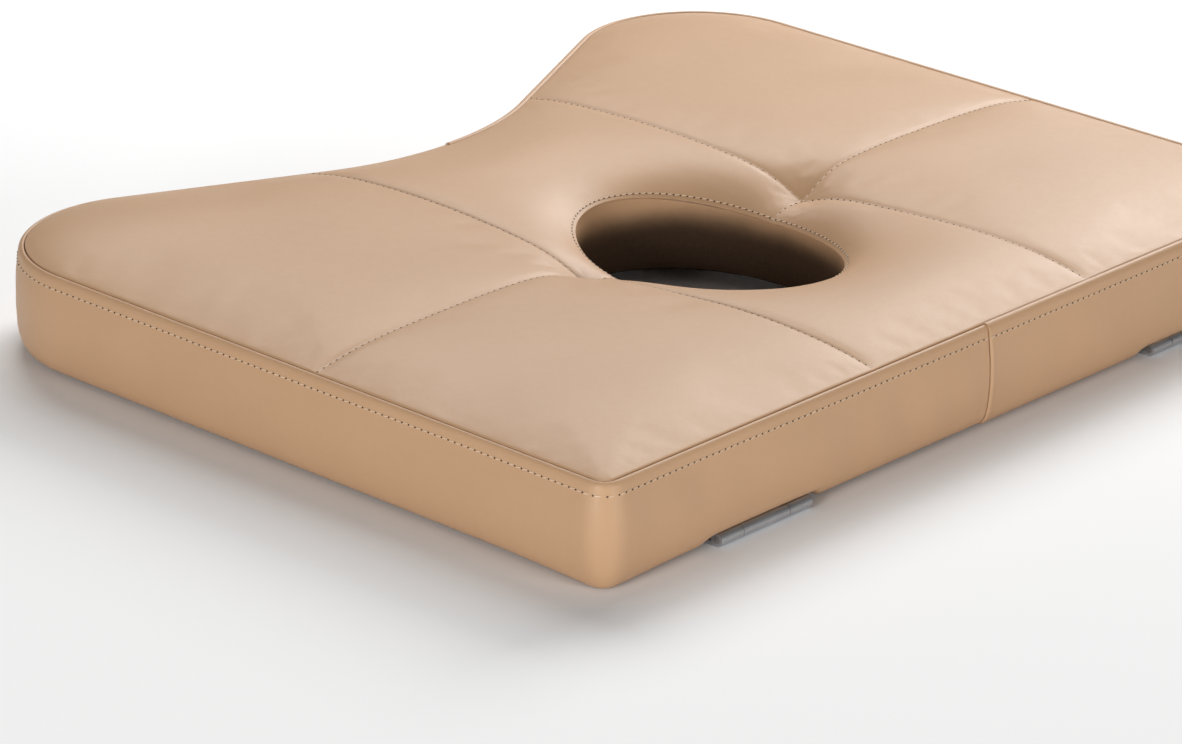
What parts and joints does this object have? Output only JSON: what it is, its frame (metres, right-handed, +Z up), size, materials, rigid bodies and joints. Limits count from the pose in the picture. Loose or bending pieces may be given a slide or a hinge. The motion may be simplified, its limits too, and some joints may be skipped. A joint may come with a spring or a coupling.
{
  "type": "treatment bed head cushion",
  "caption": "Full-width head cushion of a treatment bed, with an oval face hole, rounded ears, a notch and a quilted leatherette top, on a board that tilts up on a pair of hinges.",
  "frame": {"origin": "centre of the bounding box in X and Y, on the deck plane that the folded hinges and the rest pads lie on", "axes": "+Z up out of the padded top, +Y towards the head end with the notch, +X across the bed, to the right of someone who looks towards the head end"},
  "size_m": [0.768, 0.6199, 0.0864],
  "materials": {
    "leatherette": "fine-grained camel leatherette with a soft satin sheen",
    "wadding": "white polyester wadding",
    "soft_foam": "open-cell soft foam",
    "firm_foam": "open-cell firm foam",
    "plywood": "sanded birch plywood",
    "non_woven": "matt black non-woven sheet",
    "zinc_steel": "zinc-plated pressed steel",
    "pin_steel": "bright turned steel",
    "fastener_steel": "zinc-plated fastener steel",
    "rubber_pad": "matt black moulded rubber",
    "stitch_thread": "bonded polyester sewing thread",
    "staple_steel": "galvanised staple wire"
  },
  "bodies": {
    "hinge_base": {"hinge_left_fixed_leaf": "zinc_steel", "hinge_left_pin": "pin_steel", "hinge_right_fixed_leaf": "zinc_steel", "hinge_right_pin": "pin_steel"},
    "head_section": {"top_cover": "leatherette", "boxing_left": "leatherette", "boxing_right": "leatherette", "face_hole_sleeve": "leatherette", "quilt_wadding": "wadding", "soft_foam_topper": "soft_foam", "firm_foam_core": "firm_foam", "edge_foam_band": "firm_foam", "baseboard": "plywood", "dust_cover": "non_woven", "hinge_left_moving_leaf": "zinc_steel", "hinge_right_moving_leaf": "zinc_steel", "leaf_bolt_left_1": "fastener_steel", "t_nut_left_1": "fastener_steel", "leaf_bolt_left_2": "fastener_steel", "t_nut_left_2": "fastener_steel", "leaf_bolt_left_3": "fastener_steel", "t_nut_left_3": "fastener_steel", "leaf_bolt_right_1": "fastener_steel", "t_nut_right_1": "fastener_steel", "leaf_bolt_right_2": "fastener_steel", "t_nut_right_2": "fastener_steel", "leaf_bolt_right_3": "fastener_steel", "t_nut_right_3": "fastener_steel", "rest_pad_left_rear": "rubber_pad", "pad_screw_left_rear": "fastener_steel", "rest_pad_left_front": "rubber_pad", "pad_screw_left_front": "fastener_steel", "rest_pad_right_rear": "rubber_pad", "pad_screw_right_rear": "fastener_steel", "rest_pad_right_front": "rubber_pad", "pad_screw_right_front": "fastener_steel"}
  },
  "joints": [
    {"name": "head_tilt", "type": "hinge", "parent": "hinge_base", "child": "head_section", "pos_m": [0, -0.30502, 0.00495], "axis": [1, 0, 0], "range_deg": [0, 30]}
  ]
}
